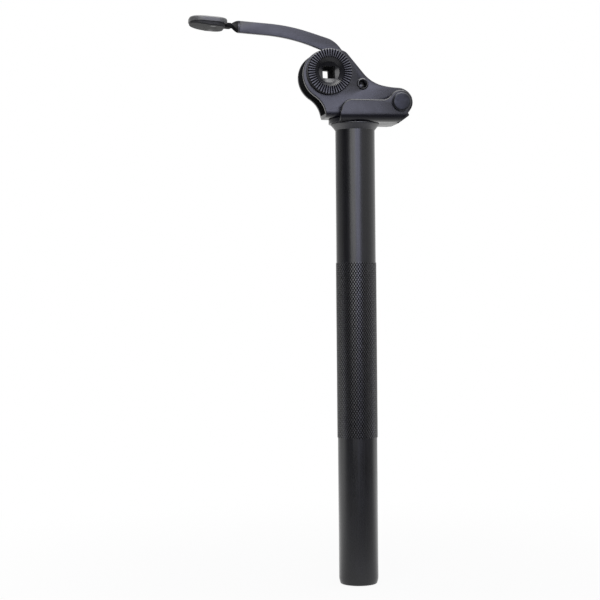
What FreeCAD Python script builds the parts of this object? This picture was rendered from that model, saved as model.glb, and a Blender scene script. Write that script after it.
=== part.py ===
import FreeCAD, Part
import math
import os

import Sketcher

# Quick-release seatpost with a head that tilts forward on a folding or electric bicycle.
# Frame: +X is the bicycle's forward, +Y runs across it from the pivot bolt's head to its nut, and
# +Z runs up the post. The origin is on the post's axis at the lower edge of the knurled band,
# where the frame's seat clamp sits with the post at its full height.

Vector = FreeCAD.Vector
doc = FreeCAD.newDocument("tilting_seatpost")
sheet = doc.addObject("Spreadsheet::Sheet", "Sizes")

# Driving dimensions, millimetres and degrees
DIMENSIONS = [
    ("post_diameter", 27.2, "standard post"),
    ("post_wall", 2.3, "wall of the post"),
    ("insert_length", 100.7, "plain length below the knurled band"),
    ("knurl_length", 120.5, "knurled band"),
    ("neck_length", 96.1, "plain length above the knurled band"),
    ("knurl_rise", 0.4, "how far the knurl stands out of the wall"),
    ("end_bevel_height", 3.2, "bevel at the lower end"),
    ("end_bevel_depth", 0.9, "bevel at the lower end"),
    ("collar_diameter", 33.4, "rim of the flared collar"),
    ("collar_rim", 0.7, "height of the rim"),
    ("collar_flare", 4.0, "height of the flare under the rim"),
    ("collar_waist", 28.9, "diameter of the flare at a third of its height"),
    ("plate", 3.0, "pressed steel plate"),
    ("base_width", 36.0, "outside width of the base channel"),
    ("base_bend", 5.3, "outside bend radius of the base channel"),
    ("base_rear", 13.8, "rear edge of the base wings behind the post axis"),
    ("base_front", 28.8, "front edge of the base wings' bends"),
    ("wing_height", 15.1, "wing's straight top edge above the channel's underside"),
    ("wing_corner", 8.0, "rear top corner of a wing"),
    ("wing_boss", 8.4, "round of a wing about the pivot"),
    ("wing_blend", 7.0, "hollow between a wing's top edge and its round"),
    ("wing_chin", 39.0, "angle below level at which a wing's front edge leaves its round"),
    ("tab_radius", 18.2, "rounded rear tab over the collar"),
    ("lip_bend", 28.6, "bend line of the front lip"),
    ("lip_angle", 36.0, "slope of the front lip"),
    ("lip_length", 9.6, "length of the front lip"),
    ("lip_width", 23.0, "width of the front lip"),
    ("relief_radius", 2.2, "bend relief beside the lip"),
    ("pivot_x", 28.4, "tilt pivot ahead of the post axis"),
    ("pivot_rise", 13.5, "tilt pivot above the channel's underside"),
    ("clamp_back", 20.8, "saddle clamp axis behind the post axis"),
    ("clamp_rise", 33.7, "saddle clamp axis above the channel's underside"),
    ("lever_x", 3.3, "lever pivot ahead of the post axis"),
    ("lever_rise", 26.45, "lever pivot above the channel's underside"),
    ("head_width", 20.0, "outside width of the head channel"),
    ("head_bend", 4.0, "outside bend radius of the head channel"),
    ("head_gap", 0.3, "air between the two channels' webs"),
    ("head_round", 17.4, "round of a head plate behind its disc"),
    ("head_round_drop", 1.5, "centre of that round below the clamp axis"),
    ("head_rear", 22.3, "rear end of the head's web behind the post axis"),
    ("head_web_front", 22.0, "front end of the head's web"),
    ("head_boss", 11.0, "round of a head plate about the tilt pivot"),
    ("head_toe", 7.6, "smaller round under the stop shoulder"),
    ("shoulder_angle", 20.0, "stop shoulder above level"),
    ("toe_end", 100.0, "angle below level where the toe's round ends"),
    ("front_offset", 19.1, "head's straight front edge from the clamp axis"),
    ("front_slope", 49.7, "slope of that edge"),
    ("front_corner", 8.0, "corner between the top and front edges"),
    ("waist_radius", 24.0, "hollow below the front edge"),
    ("sweep_radius", 56.0, "long hollow towards the tilt pivot"),
    ("sweep_end", 89.0, "angle where that hollow meets the round about the pivot"),
    ("clamp_square", 8.4, "square hole for the saddle clamp's bolt"),
    ("disc_diameter", 31.0, "serrated disc"),
    ("disc_height", 6.0, "serrated disc"),
    ("disc_bevel", 0.5, "bevel at the disc's rim"),
    ("land_diameter", 20.6, "inner edge of the serrated ring"),
    ("funnel_depth", 2.8, "depth of the conical mouth"),
    ("well_diameter", 14.4, "round well behind the mouth"),
    ("well_step", 0.5, "height of the well's upright wall"),
    ("dish_diameter", 8.2, "inner edge of the well's sloping floor"),
    ("well_floor", 1.2, "thickness of the well's floor"),
    ("tooth_count", 48, "serrations"),
    ("groove_width", 1.1, "serration groove"),
    ("groove_depth", 0.9, "serration groove"),
    ("bolt_diameter", 8.0, "tilt pivot bolt"),
    ("bolt_head_diameter", 12.9, "its low round head"),
    ("bolt_head_height", 2.6, "its low round head"),
    ("bolt_head_edge", 0.9, "rounded edge of the head"),
    ("bolt_tail", 1.2, "thread past the nut"),
    ("bolt_hole_play", 0.1, "radial play of the bolt in the wings"),
    ("nut_flats", 13.0, "nut across flats"),
    ("nut_height", 5.0, "nut"),
    ("washer_diameter", 15.5, "washer"),
    ("washer_height", 1.2, "washer"),
    ("running_play", 0.05, "radial running fit of every pivot"),
    ("side_play", 0.2, "side play between parts that turn"),
    ("bush_wall", 1.0, "wall of a pivot bush"),
    ("bush_flange", 15.0, "flange diameter of a pivot bush"),
    ("sleeve_diameter", 12.0, "spacer sleeve on the pivot bolt"),
    ("rivet_diameter", 6.8, "semi-tubular rivet of the lever"),
    ("rivet_bore", 5.9, "bore of its open end"),
    ("rivet_bore_depth", 7.5, "bore of its open end"),
    ("rivet_drill", 1.5, "height of the cone at the bottom of that bore"),
    ("rivet_rim", 8.4, "rolled rim of that rivet"),
    ("rivet_rim_height", 0.8, "rolled rim of that rivet"),
    ("near_spacer", 9.0, "outside diameter of the spacer inside the spring"),
    ("far_spacer", 12.0, "outside diameter of the other spacer"),
    ("window_rear", 11.3, "rear end of the latch window"),
    ("window_front", 8.0, "front end of the latch window"),
    ("window_width", 5.4, "width of the latch window"),
    ("lever_plate", 3.0, "flat bar of the lever"),
    ("bar_height", 8.0, "height of the flat bar"),
    ("bar_slope", 3.6, "slope of the straight stretch of the bar"),
    ("bar_end_x", 80.2, "rear end of the upright bar behind the post axis"),
    ("bar_end_rise", 64.9, "height there above the channel's underside"),
    ("bend_x", 45.6, "bend of the bar behind the post axis"),
    ("bend_radius", 125.0, "radius of that bend on the top edge"),
    ("fall_slope", 16.6, "slope of the top edge past the bend"),
    ("shoulder_radius", 18.0, "round of the top edge over the head"),
    ("blade_proud", 1.0, "blade's front edge outside the head's front edge"),
    ("blade_boss", 6.5, "round of the blade about its rivet"),
    ("blade_throat", 10.0, "hollow under the bar behind the clamp axis"),
    ("throat_x", 13.9, "corner of that hollow behind the post axis"),
    ("throat_rise", 47.3, "corner of that hollow above the channel's underside"),
    ("arm_front", 6.0, "front edge of the latch arm"),
    ("arm_rear", 1.0, "rear edge of the latch arm behind the post axis"),
    ("arm_corner", 5.0, "inner corners between the blade and the arm"),
    ("hook_play", 0.3, "air between the hook's nose and the window's front edge"),
    ("hook_under", 0.6, "air between the hook's nose and the base web"),
    ("hook_height", 3.4, "height of the hook's nose"),
    ("hook_round", 1.0, "corners of the hook"),
    ("twist_length", 6.6, "quarter twist between the bar and the grip"),
    ("tang_length", 14.0, "flat neck and the tang inside the grip"),
    ("grip_start", 9.4, "front end of the grip from the bar's end"),
    ("grip_length", 25.5, "grip"),
    ("grip_width", 24.0, "grip"),
    ("grip_corner_rear", 9.5, "rear corners of the grip in plan"),
    ("grip_corner_front", 7.0, "front corners of the grip in plan"),
    ("grip_top", 3.4, "upper half of the grip"),
    ("grip_bottom", 2.7, "lower half of the grip"),
    ("grip_edge_top", 1.2, "rounded edge of the upper half"),
    ("grip_edge_bottom", 0.9, "rounded edge of the lower half"),
    ("grip_inset", 0.6, "lower half inside the upper half all round"),
    ("grip_setback", 1.3, "lower half's front end behind the upper half's"),
    ("grip_taper", 1.2, "how much thinner the lower half is at the rear"),
    ("tang_play", 0.05, "moulding clearance round the tang"),
    ("screw_diameter", 2.2, "screws that close the grip"),
    ("screw_head", 3.8, "their heads"),
    ("screw_head_height", 0.9, "their heads"),
    ("screw_spread", 14.0, "distance between the two screws"),
    ("screw_length", 4.0, "from under the head to the tip"),
    ("spring_wire", 1.0, "return spring"),
    ("spring_radius", 5.6, "mean radius of its coil"),
    ("spring_pitch", 1.5, "pitch of its coil"),
    ("spring_leg_gap", 0.2, "air between the straight leg and the head's web"),
    ("spring_catch", 12.5, "straight leg behind the latch arm"),
    ("spring_tip", 3.6, "bent tip across the latch arm"),
    ("spring_bend", 1.4, "bend radius of that tip"),
]
for row, (alias, value, note) in enumerate(DIMENSIONS, start=1):
    sheet.set(f"A{row}", alias)
    sheet.set(f"B{row}", str(value))
    sheet.set(f"C{row}", note)
    sheet.setAlias(f"B{row}", alias)
doc.recompute()


# A size that knows its value and the expression that binds it to the sheet
class Size:
    def __init__(self, value, text):
        self.value = float(value)
        self.text = text

    def __add__(self, other):
        return Size(self.value + as_size(other).value, f"({self.text} + {as_size(other).text})")

    def __sub__(self, other):
        return Size(self.value - as_size(other).value, f"({self.text} - {as_size(other).text})")

    def __mul__(self, other):
        return Size(self.value * as_size(other).value, f"({self.text} * {as_size(other).text})")

    def __truediv__(self, other):
        return Size(self.value / as_size(other).value, f"({self.text} / {as_size(other).text})")

    def __neg__(self):
        return Size(-self.value, f"(-{self.text})")

    def __float__(self):
        return self.value


def as_size(thing):
    return thing if isinstance(thing, Size) else Size(thing, repr(float(thing)))


def dim(alias):
    return Size(sheet.get(alias), f"Sizes.{alias}")


def bind(thing, prop, size):
    thing.setExpression(prop, as_size(size).text)


# Bodies, sketches and features
def new_body(label):
    body = doc.addObject("PartDesign::Body", label)
    body.Label = label
    return body


def new_sketch(body, name, role, lift=None):
    sketch = body.newObject("Sketcher::SketchObject", name)
    plane = next(f for f in body.Origin.OriginFeatures if f.Role == role)
    sketch.AttachmentSupport = [(plane, "")]
    sketch.MapMode = "FlatFace"
    if lift is not None:
        sketch.AttachmentOffset = FreeCAD.Placement(Vector(0, 0, float(lift)), FreeCAD.Rotation())
        bind(sketch, ".AttachmentOffset.Base.z", lift)
    return sketch


def hold(sketch, constraint, size):
    index = sketch.addConstraint(constraint)
    bind(sketch, f"Constraints[{index}]", size)


def draw_polygon(sketch, points):
    first = sketch.GeometryCount
    count = len(points)
    for i in range(count):
        here, there = points[i], points[(i + 1) % count]
        line = Part.LineSegment(Vector(float(here[0]), float(here[1]), 0),
                                Vector(float(there[0]), float(there[1]), 0))
        sketch.addGeometry(line, False)
    for i in range(count):
        after = first + (i + 1) % count
        sketch.addConstraint(Sketcher.Constraint("Coincident", first + i, 2, after, 1))
    for i, (across, up) in enumerate(points):
        edge = first + i
        hold(sketch, Sketcher.Constraint("DistanceX", -1, 1, edge, 1, float(across)), across)
        hold(sketch, Sketcher.Constraint("DistanceY", -1, 1, edge, 1, float(up)), up)


def draw_circle(sketch, across, up, radius):
    circle = Part.Circle(Vector(float(across), float(up), 0), Vector(0, 0, 1), float(radius))
    index = sketch.addGeometry(circle, False)
    hold(sketch, Sketcher.Constraint("Radius", index, float(radius)), radius)
    hold(sketch, Sketcher.Constraint("DistanceX", -1, 1, index, 3, float(across)), across)
    hold(sketch, Sketcher.Constraint("DistanceY", -1, 1, index, 3, float(up)), up)


def draw_rectangle(sketch, low_x, low_y, high_x, high_y):
    draw_polygon(sketch, [(low_x, low_y), (high_x, low_y), (high_x, high_y), (low_x, high_y)])


def draw_curve(sketch, pieces):
    for piece in pieces:
        sketch.addGeometry(piece, False)


def revolve(body, points):
    sketch = new_sketch(body, body.Label + "_profile", "XZ_Plane")
    draw_polygon(sketch, points)
    turn = body.newObject("PartDesign::Revolution", body.Label + "_revolution")
    turn.Profile = sketch
    turn.ReferenceAxis = (sketch, ["V_Axis"])
    turn.Angle = 360
    doc.recompute()
    return turn


def pad(body, sketch, length, both_ways=False, backwards=False):
    feature = body.newObject("PartDesign::Pad", sketch.Name + "_pad")
    feature.Profile = sketch
    feature.Length = float(length)
    bind(feature, "Length", length)
    feature.Midplane = both_ways
    feature.Reversed = backwards
    doc.recompute()
    return feature


def pocket(body, sketch, length, both_ways=False, backwards=False):
    before = body.Shape.Volume
    feature = body.newObject("PartDesign::Pocket", sketch.Name + "_pocket")
    feature.Profile = sketch
    feature.Length = float(length)
    bind(feature, "Length", length)
    feature.Midplane = both_ways
    feature.Reversed = backwards
    doc.recompute()
    if body.Shape.Volume >= before:
        raise RuntimeError(f"{feature.Name} cuts nothing")
    return feature


# Places: along a cross axis the profile's height is the distance out from the middle plane
NEAR = FreeCAD.Rotation(Vector(1, 0, 0), 90)
FAR = FreeCAD.Rotation(Vector(1, 0, 0), -90)


def put(thing, across, up, turn):
    thing.Placement = FreeCAD.Placement(Vector(float(across), 0, float(up)), turn)
    bind(thing, ".Placement.Base.x", across)
    bind(thing, ".Placement.Base.z", up)


# Curves for outlines, in the plane of a side view
def polar(centre, radius, degrees):
    angle = math.radians(degrees)
    return Vector(centre.x + radius * math.cos(angle), centre.y + radius * math.sin(angle), 0)


def line(start, end):
    return Part.LineSegment(start, end)


def arc(centre, radius, start, end):
    """The arc from one angle to the other, in degrees, either way round."""
    middle = polar(centre, radius, (start + end) / 2)
    return Part.Arc(polar(centre, radius, start), middle, polar(centre, radius, end))


def bearing(centre, point):
    return math.degrees(math.atan2(point.y - centre.y, point.x - centre.x))


def crossing(a, a_way, b, b_way):
    """Where the line through a along a_way meets the line through b along b_way."""
    across = a_way.x * b_way.y - a_way.y * b_way.x
    gap = b - a
    return a + a_way * ((gap.x * b_way.y - gap.y * b_way.x) / across)


def rounded(points):
    """A closed outline of lines and tangent arcs from corners, each with its radius."""
    count = len(points)
    starts, ends, arcs = [], [], []
    for i, (corner, radius) in enumerate(points):
        before = (points[i - 1][0] - corner).normalize()
        after = (points[(i + 1) % count][0] - corner).normalize()
        if radius <= 0:
            starts.append(corner)
            ends.append(corner)
            arcs.append(None)
            continue
        half = before.getAngle(after) / 2
        reach = radius / math.tan(half)
        centre = corner + (before + after).normalize() * (radius / math.sin(half))
        middle = centre + (corner - centre).normalize() * radius
        starts.append(corner + before * reach)
        ends.append(corner + after * reach)
        arcs.append(Part.Arc(starts[-1], middle, ends[-1]))
    pieces = []
    for i in range(count):
        if arcs[i] is not None:
            pieces.append(arcs[i])
        pieces.append(line(ends[i], starts[(i + 1) % count]))
    return pieces


# Levels and axes that several pieces share
post_radius = dim("post_diameter") / 2
foot = -dim("insert_length")
band_top = dim("knurl_length")
seat = dim("knurl_length") + dim("neck_length")
base_floor = seat + dim("plate")
head_seat = base_floor + dim("head_gap")
head_floor = head_seat + dim("plate")
pivot_up = seat + dim("pivot_rise")
clamp_up = seat + dim("clamp_rise")
lever_up = seat + dim("lever_rise")
pivot = Vector(float(dim("pivot_x")), float(pivot_up), 0)
clamp = Vector(-float(dim("clamp_back")), float(clamp_up), 0)
hinge = Vector(float(dim("lever_x")), float(lever_up), 0)
base_half = dim("base_width") / 2
head_half = dim("head_width") / 2
head_inside = head_half - dim("plate")
bolt_radius = dim("bolt_diameter") / 2
bush_bore = bolt_radius + dim("running_play")
bush_radius = bush_bore + dim("bush_wall")
rivet_radius = dim("rivet_diameter") / 2
blade_half = dim("lever_plate") / 2


# Post tube: drawn tube with a bevelled foot and a raised knurled band
def make_post_tube():
    body = new_body("post_tube")
    bore = post_radius - dim("post_wall")
    band = post_radius + dim("knurl_rise")
    revolve(body, [
        (bore, foot),
        (post_radius - dim("end_bevel_depth"), foot),
        (post_radius, foot + dim("end_bevel_height")),
        (post_radius, 0.0),
        (band, 0.0),
        (band, band_top),
        (post_radius, band_top),
        (post_radius, seat),
        (bore, seat),
    ])
    return body


# Neck collar: flared ring welded round the top of the tube, under the base bracket
def make_neck_collar():
    body = new_body("neck_collar")
    rim = dim("collar_diameter") / 2
    low = seat - dim("collar_rim") - dim("collar_flare")
    revolve(body, [
        (post_radius, low),
        (dim("collar_waist") / 2, low + dim("collar_flare") / 3),
        (rim, seat - dim("collar_rim")),
        (rim, seat),
        (post_radius, seat),
    ])
    return body


# Channel section: two plates and a web with rounded bends, seen along the bicycle
def draw_channel(sketch, half, low, high, bend, plate):
    inner = bend - plate
    left, right = -half, half
    bottom_left = Vector(left + bend, low + bend, 0)
    bottom_right = Vector(right - bend, low + bend, 0)
    draw_curve(sketch, [
        line(Vector(left, high, 0), Vector(left, low + bend, 0)),
        arc(bottom_left, bend, 180, 270),
        line(Vector(left + bend, low, 0), Vector(right - bend, low, 0)),
        arc(bottom_right, bend, -90, 0),
        line(Vector(right, low + bend, 0), Vector(right, high, 0)),
        line(Vector(right, high, 0), Vector(right - plate, high, 0)),
        line(Vector(right - plate, high, 0), Vector(right - plate, low + bend, 0)),
        arc(bottom_right, inner, 0, -90),
        line(Vector(right - bend, low + plate, 0), Vector(left + bend, low + plate, 0)),
        arc(bottom_left, inner, 270, 180),
        line(Vector(left + plate, low + bend, 0), Vector(left + plate, high, 0)),
        line(Vector(left + plate, high, 0), Vector(left, high, 0)),
    ])


def wing_outline():
    """Side view of the base channel: rear edge, top edge, round about the pivot, front edge."""
    top = float(seat + dim("wing_height"))
    corner = float(dim("wing_corner"))
    rear = -float(dim("base_rear"))
    front = float(dim("base_front"))
    low = float(seat)
    boss = float(dim("wing_boss"))
    blend = float(dim("wing_blend"))
    blend_up = top + blend
    blend_x = pivot.x - math.sqrt((boss + blend) ** 2 - (blend_up - pivot.y) ** 2)
    blend_at = Vector(blend_x, blend_up, 0)
    meet = bearing(pivot, blend_at)
    chin = polar(pivot, boss, -float(dim("wing_chin")))
    slope = Vector(chin.y - pivot.y, pivot.x - chin.x, 0)
    toe = crossing(chin, slope, Vector(front, low, 0), Vector(0, 1, 0))
    corner_at = Vector(rear + corner, top - corner, 0)
    return [
        line(Vector(front, low, 0), Vector(rear, low, 0)),
        line(Vector(rear, low, 0), Vector(rear, top - corner, 0)),
        arc(corner_at, corner, 180, 90),
        line(Vector(rear + corner, top, 0), Vector(blend_x, top, 0)),
        arc(blend_at, blend, -90, meet - 180),
        arc(pivot, boss, meet, -float(dim("wing_chin"))),
        line(chin, toe),
        line(toe, Vector(front, low, 0)),
    ]


def cut_to_outline(body, name, outline, reach):
    """Cuts away what lies outside an outline in the side view."""
    sketch = new_sketch(body, name, "XZ_Plane")
    box = Part.Wire([piece.toShape() for piece in outline]).BoundBox
    low = Vector(box.XMin - reach, box.YMin - reach, 0)
    high = Vector(box.XMax + reach, box.YMax + reach, 0)
    draw_curve(sketch, [
        line(low, Vector(high.x, low.y, 0)),
        line(Vector(high.x, low.y, 0), high),
        line(high, Vector(low.x, high.y, 0)),
        line(Vector(low.x, high.y, 0), low),
    ])
    draw_curve(sketch, outline)
    return sketch


# Base bracket: pressed channel welded on the collar, with the lip that stops the tilt
def make_base_bracket():
    body = new_body("base_bracket")
    plate = dim("plate")
    section = new_sketch(body, "base_section", "YZ_Plane", -dim("base_rear"))
    height = float(pivot_up + dim("wing_boss") + plate)
    draw_channel(section, float(base_half), float(seat), height, float(dim("base_bend")), float(plate))
    pad(body, section, dim("base_rear") + dim("pivot_x") + dim("wing_boss") + plate)
    outline = cut_to_outline(body, "base_side", wing_outline(), float(dim("base_width")))
    pocket(body, outline, dim("base_width") * 2, both_ways=True)

    # the front lip, bent up out of the web
    slope = math.radians(float(dim("lip_angle")))
    along = Vector(math.cos(slope), math.sin(slope), 0)
    across = Vector(-math.sin(slope), math.cos(slope), 0)
    bend = Vector(float(dim("lip_bend")), float(seat), 0)
    tip = bend + along * float(dim("lip_length"))
    thick = float(plate)
    inside = crossing(bend + across * thick, along, Vector(0, float(base_floor), 0), Vector(1, 0, 0))
    root = Vector(float(dim("base_front")) - thick, float(seat), 0)
    lip = new_sketch(body, "front_lip", "XZ_Plane")
    draw_curve(lip, [
        line(root, bend),
        line(bend, tip),
        line(tip, tip + across * thick),
        line(tip + across * thick, inside),
        line(inside, Vector(root.x, float(base_floor), 0)),
        line(Vector(root.x, float(base_floor), 0), root),
    ])
    pad(body, lip, dim("lip_width"), both_ways=True)

    # the rounded rear tab over the collar
    tab = new_sketch(body, "rear_tab", "XY_Plane", seat)
    radius = float(dim("tab_radius"))
    edge = -float(dim("base_rear")) + thick
    half_angle = math.degrees(math.acos(-edge / radius))
    top_corner = polar(Vector(0, 0, 0), radius, 180 - half_angle)
    low_corner = polar(Vector(0, 0, 0), radius, 180 + half_angle)
    draw_curve(tab, [
        arc(Vector(0, 0, 0), radius, 180 - half_angle, 180 + half_angle),
        line(low_corner, top_corner),
    ])
    pad(body, tab, plate)

    # bend reliefs, latch window and pivot holes
    relief = new_sketch(body, "bend_reliefs", "XY_Plane", seat - plate)
    relief_y = base_half - dim("base_bend")
    for side in (1, -1):
        draw_circle(relief, dim("lip_bend"), relief_y * side, dim("relief_radius"))
    pocket(body, relief, plate * 3, backwards=True)
    window = new_sketch(body, "latch_window", "XY_Plane", seat - plate)
    half_window = dim("window_width") / 2
    draw_rectangle(window, -dim("window_rear"), -half_window, dim("window_front"), half_window)
    pocket(body, window, plate * 3, backwards=True)
    holes = new_sketch(body, "pivot_holes", "XZ_Plane")
    draw_circle(holes, dim("pivot_x"), pivot_up, bolt_radius + dim("bolt_hole_play"))
    pocket(body, holes, dim("base_width") * 2, both_ways=True)
    return body


def head_outline():
    """Side view of the saddle bracket, from the rear end of its web and over the top."""
    low = float(head_seat)
    rear = -float(dim("head_rear"))
    around = float(dim("head_round"))
    boss = float(dim("head_boss"))
    toe = float(dim("head_toe"))
    shoulder = float(dim("shoulder_angle"))
    toe_end = -float(dim("toe_end"))
    middle = clamp - Vector(0, float(dim("head_round_drop")), 0)
    back = middle.x - rear
    rise = middle.y - low
    hollow = (back ** 2 + rise ** 2 - around ** 2) / (2 * (around - back))
    hollow_at = Vector(rear - hollow, low, 0)
    meet = bearing(hollow_at, middle)

    slope = math.radians(float(dim("front_slope")))
    down = Vector(math.cos(slope), -math.sin(slope), 0)
    out = Vector(math.sin(slope), math.cos(slope), 0)
    front = clamp + out * float(dim("front_offset"))
    top = Vector(middle.x, middle.y + around, 0)
    peak = crossing(top, Vector(1, 0, 0), front, down)
    corner = float(dim("front_corner"))
    reach = corner * math.tan(slope / 2)
    corner_at = Vector(peak.x - reach, peak.y - corner, 0)

    sweep = float(dim("sweep_radius"))
    sweep_end = float(dim("sweep_end"))
    sweep_at = polar(pivot, boss + sweep, sweep_end)
    waist = float(dim("waist_radius"))
    start = front + out * waist
    gap = start - sweep_at
    along = gap.dot(down)
    travel = -along + math.sqrt(along ** 2 - gap.dot(gap) + (sweep - waist) ** 2)
    waist_at = start + down * travel
    turn = bearing(sweep_at, waist_at)
    lean = 270 - math.degrees(math.atan2(out.x, out.y))
    toe_point = polar(pivot, toe, toe_end)
    return [
        arc(hollow_at, hollow, 0, meet),
        arc(middle, around, meet + 180, 90),
        line(top, Vector(corner_at.x, top.y, 0)),
        arc(corner_at, corner, 90, 90 - math.degrees(slope)),
        line(peak + down * reach, waist_at - out * waist),
        arc(waist_at, waist, lean, turn + 360),
        arc(sweep_at, sweep, turn + 360, sweep_end + 180),
        arc(pivot, boss, sweep_end, shoulder),
        line(polar(pivot, boss, shoulder), polar(pivot, toe, shoulder)),
        arc(pivot, toe, shoulder, toe_end),
        line(toe_point, Vector(float(dim("head_web_front")), low, 0)),
        line(Vector(float(dim("head_web_front")), low, 0), Vector(rear, low, 0)),
    ]


# Saddle bracket: the channel that tilts and carries the saddle clamp and the lever
def make_saddle_bracket():
    body = new_body("saddle_bracket")
    plate = dim("plate")
    outline = head_outline()
    box = Part.Wire([piece.toShape() for piece in outline]).BoundBox
    section = new_sketch(body, "head_section", "YZ_Plane", Size(box.XMin, repr(box.XMin)) - plate)
    draw_channel(section, float(head_half), float(head_seat), box.YMax + float(plate),
                 float(dim("head_bend")), float(plate))
    pad(body, section, Size(box.XLength, repr(box.XLength)) + plate * 2)
    side = cut_to_outline(body, "head_side", outline, float(dim("head_width")))
    pocket(body, side, dim("head_width") * 2, both_ways=True)

    # the web stops short of the pivot, and the latch arm passes through its window
    nose = new_sketch(body, "web_end", "XY_Plane", seat)
    draw_rectangle(nose, dim("head_web_front"), -head_inside, dim("pivot_x") + dim("head_boss"), head_inside)
    pocket(body, nose, head_floor - seat, backwards=True)
    window = new_sketch(body, "arm_window", "XY_Plane", seat)
    half_window = dim("window_width") / 2
    draw_rectangle(window, -dim("window_rear"), -half_window, dim("window_front"), half_window)
    pocket(body, window, head_floor - seat + plate, backwards=True)

    # holes: square for the clamp bolt, round for the bushes and the rivet
    half = dim("clamp_square") / 2
    square = new_sketch(body, "clamp_holes", "XZ_Plane")
    draw_rectangle(square, -dim("clamp_back") - half, clamp_up - half, half - dim("clamp_back"), clamp_up + half)
    pocket(body, square, dim("head_width") * 2, both_ways=True)
    for name, across, up, radius in (
        ("bush_holes", dim("pivot_x"), pivot_up, bush_radius),
        ("rivet_holes", dim("lever_x"), lever_up, rivet_radius),
    ):
        holes = new_sketch(body, name, "XZ_Plane")
        draw_circle(holes, across, up, radius)
        pocket(body, holes, dim("head_width") * 2, both_ways=True)
    return body


# Serrated disc: the saddle clamp's jaw locks on its radial teeth
def make_serrated_disc(label, turn):
    body = new_body(label)
    rim = dim("disc_diameter") / 2
    face = head_half + dim("disc_height")
    bevel = dim("disc_bevel")
    well = dim("well_diameter") / 2
    floor = head_half + dim("well_floor")
    revolve(body, [
        (0.0, head_half),
        (rim, head_half),
        (rim, face - bevel),
        (rim - bevel, face),
        (dim("land_diameter") / 2, face),
        (well, face - dim("funnel_depth")),
        (well, face - dim("funnel_depth") - dim("well_step")),
        (dim("dish_diameter") / 2, floor),
        (0.0, floor),
    ])
    half = dim("clamp_square") / 2
    square = new_sketch(body, label + "_square", "XY_Plane")
    draw_rectangle(square, -half, -half, half, half)
    pocket(body, square, face + dim("disc_height"), backwards=True)
    groove = new_sketch(body, label + "_groove", "YZ_Plane")
    half_groove = dim("groove_width") / 2
    over = dim("groove_depth")
    draw_polygon(groove, [
        (-half_groove * 2, face + over),
        (half_groove * 2, face + over),
        (0.0, face - over),
    ])
    tooth = pocket(body, groove, rim + bevel, backwards=True)
    teeth = body.newObject("PartDesign::PolarPattern", label + "_teeth")
    teeth.Originals = [tooth]
    axis = next(f for f in body.Origin.OriginFeatures if f.Role == "Z_Axis")
    teeth.Axis = (axis, [""])
    teeth.Angle = 360
    teeth.Occurrences = int(float(dim("tooth_count")))
    bind(teeth, "Occurrences", dim("tooth_count"))
    body.Tip = teeth
    put(body, -dim("clamp_back"), clamp_up, turn)
    doc.recompute()
    return body


# Tilt pivot: bolt, washer and nut across the base, bushes and sleeve in the head
def make_pivot_bolt():
    body = new_body("pivot_bolt")
    head = dim("bolt_head_diameter") / 2
    edge = dim("bolt_head_edge")
    face = base_half + dim("bolt_head_height")
    tail = -(base_half + dim("washer_height") + dim("nut_height") + dim("bolt_tail"))
    revolve(body, [
        (0.0, tail),
        (bolt_radius, tail),
        (bolt_radius, base_half),
        (head, base_half),
        (head, face - edge),
        (head - edge, face),
        (0.0, face),
    ])
    put(body, dim("pivot_x"), pivot_up, NEAR)
    return body


def make_ring(label, inner, outer, start, end, across, up, turn):
    """A plain ring from two cylinders, from one distance out of the middle plane to another."""
    outside = doc.addObject("Part::Cylinder", label + "_outside")
    inside = doc.addObject("Part::Cylinder", label + "_inside")
    for cylinder, radius in ((outside, outer), (inside, inner)):
        cylinder.Radius = float(radius)
        bind(cylinder, "Radius", radius)
        cylinder.Height = float(end) - float(start)
        bind(cylinder, "Height", end - start)
        cylinder.Placement = FreeCAD.Placement(Vector(0, 0, float(start)), FreeCAD.Rotation())
        bind(cylinder, ".Placement.Base.z", start)
    ring = doc.addObject("Part::Cut", label)
    ring.Base = outside
    ring.Tool = inside
    ring.Label = label
    put(ring, across, up, turn)
    return ring


def make_pivot_nut():
    body = new_body("pivot_nut")
    start = base_half + dim("washer_height")
    corner = dim("nut_flats") / 2 / math.cos(math.radians(30))
    hexagon = new_sketch(body, "nut_hexagon", "XY_Plane", start)
    draw_polygon(hexagon, [
        (corner * math.cos(math.radians(60 * i)), corner * math.sin(math.radians(60 * i)))
        for i in range(6)
    ])
    pad(body, hexagon, dim("nut_height"))
    bore = new_sketch(body, "nut_bore", "XY_Plane", start)
    draw_circle(bore, 0.0, 0.0, bolt_radius)
    pocket(body, bore, dim("nut_height"), backwards=True)
    put(body, dim("pivot_x"), pivot_up, FAR)
    return body


def make_pivot_bush(label, turn):
    body = new_body(label)
    flange = dim("bush_flange") / 2
    wing_inside = base_half - dim("plate")
    revolve(body, [
        (bush_bore, head_inside),
        (bush_radius, head_inside),
        (bush_radius, head_half),
        (flange, head_half),
        (flange, wing_inside - dim("side_play")),
        (bush_bore, wing_inside - dim("side_play")),
    ])
    put(body, dim("pivot_x"), pivot_up, turn)
    return body


def make_pivot_sleeve():
    return make_ring("pivot_sleeve", bush_bore, dim("sleeve_diameter") / 2,
                     -head_inside, head_inside, dim("pivot_x"), pivot_up, NEAR)


def make_pivot_washer():
    return make_ring("pivot_washer", bolt_radius, dim("washer_diameter") / 2,
                     base_half, base_half + dim("washer_height"), dim("pivot_x"), pivot_up, FAR)


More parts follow.
